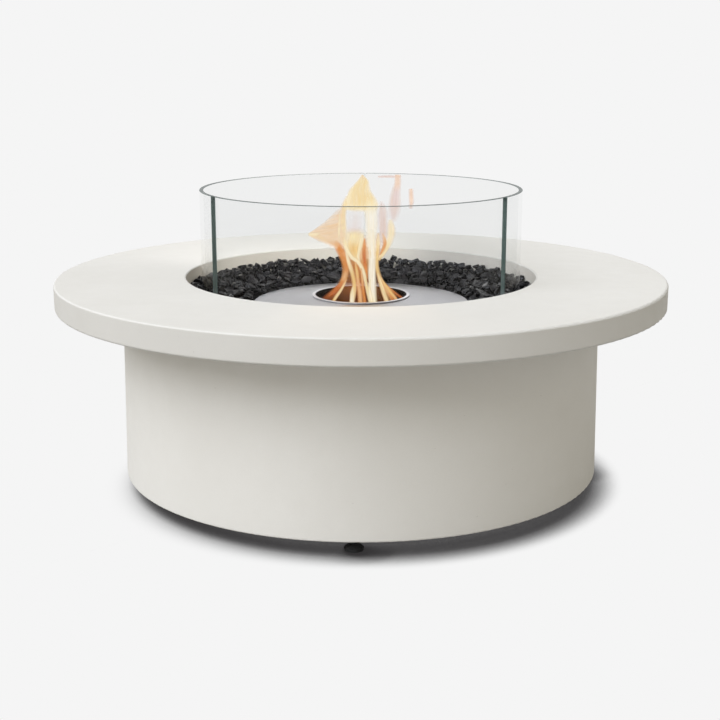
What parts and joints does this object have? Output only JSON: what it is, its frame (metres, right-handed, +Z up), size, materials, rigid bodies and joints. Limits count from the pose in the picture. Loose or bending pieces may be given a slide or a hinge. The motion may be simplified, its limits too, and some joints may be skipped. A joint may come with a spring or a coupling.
{
  "type": "fire pit table",
  "caption": "Low round cast table with a central opening that holds an ethanol burner, a ring of black charcoal glass and a round glass screen, on levelling feet.",
  "frame": {"origin": "on the floor under the table's centre", "axes": "+Z up; -Y is the front, where one levelling foot shows; the glass screen's seams are at 60 degrees either side of the front and at the back"},
  "size_m": [1.27, 1.27, 0.6168],
  "materials": {
    "concrete": "fine cast fibre concrete, sealed matt, warm off-white",
    "brushed_stainless": "spun and brushed in circles round the burner's axis",
    "sheet_stainless": "plain mill-finish stainless sheet",
    "zinc_fastener": "zinc-plated steel",
    "brass_insert": "plain turned brass",
    "silicone": "high-temperature silicone, matt",
    "gasket_fibre": "pressed ceramic-fibre gasket sheet",
    "black_charcoal_glass": "broken black glass stones, glossy facets with duller broken faces",
    "clear_glass": "clear tempered glass with a green edge, polished arrises",
    "black_nylon": "moulded black nylon, fine matt grain",
    "black_steel": "blackened steel stud"
  },
  "bodies": {
    "table": {"table_top": "concrete", "top_bolts": "zinc_fastener", "top_washers": "zinc_fastener", "top_inserts": "brass_insert", "base_drum": "concrete", "foot_inserts": "brass_insert", "foot_washers": "zinc_fastener", "foot_lock_nuts": "zinc_fastener", "fire_tray": "sheet_stainless", "tray_gasket": "gasket_fibre", "tray_screws": "zinc_fastener", "tray_inserts": "brass_insert", "glass_channel": "sheet_stainless", "glass_seat_strip": "silicone", "burner_pads": "silicone", "charcoal_bed_inner": "black_charcoal_glass", "charcoal_bed_outer": "black_charcoal_glass", "charcoal_stones_inner": "black_charcoal_glass", "charcoal_stones_outer": "black_charcoal_glass"},
    "foot_front": {"foot_pad_front": "black_nylon", "foot_stem_front": "black_steel"},
    "foot_right": {"foot_pad_right": "black_nylon", "foot_stem_right": "black_steel"},
    "foot_back": {"foot_pad_back": "black_nylon", "foot_stem_back": "black_steel"},
    "foot_left": {"foot_pad_left": "black_nylon", "foot_stem_left": "black_steel"},
    "glass_front": {"glass_panel_front": "clear_glass"},
    "glass_right": {"glass_panel_right": "clear_glass"},
    "glass_left": {"glass_panel_left": "clear_glass"},
    "burner": {"burner_tank": "sheet_stainless", "flame_guard": "sheet_stainless", "burner_cover": "brushed_stainless", "burner_neck": "brushed_stainless"},
    "mouth_ring": {"mouth_ring": "brushed_stainless"}
  },
  "joints": [
    {"name": "foot_front_screw", "type": "slide", "parent": "table", "child": "foot_front", "axis": [0, 0, -1], "range_m": [-0.005, 0.012]},
    {"name": "foot_right_screw", "type": "slide", "parent": "table", "child": "foot_right", "axis": [0, 0, -1], "range_m": [-0.005, 0.012]},
    {"name": "foot_back_screw", "type": "slide", "parent": "table", "child": "foot_back", "axis": [0, 0, -1], "range_m": [-0.005, 0.012]},
    {"name": "foot_left_screw", "type": "slide", "parent": "table", "child": "foot_left", "axis": [0, 0, -1], "range_m": [-0.005, 0.012]},
    {"name": "glass_front_lift", "type": "slide", "parent": "table", "child": "glass_front", "axis": [0, 0, 1], "range_m": [0, 0.28]},
    {"name": "glass_right_lift", "type": "slide", "parent": "table", "child": "glass_right", "axis": [0, 0, 1], "range_m": [0, 0.28]},
    {"name": "glass_left_lift", "type": "slide", "parent": "table", "child": "glass_left", "axis": [0, 0, 1], "range_m": [0, 0.28]},
    {"name": "burner_lift", "type": "slide", "parent": "table", "child": "burner", "axis": [0, 0, 1], "range_m": [0, 0.35]},
    {"name": "mouth_ring_lift", "type": "slide", "parent": "burner", "child": "mouth_ring", "axis": [0, 0, 1], "range_m": [0, 0.26]}
  ]
}
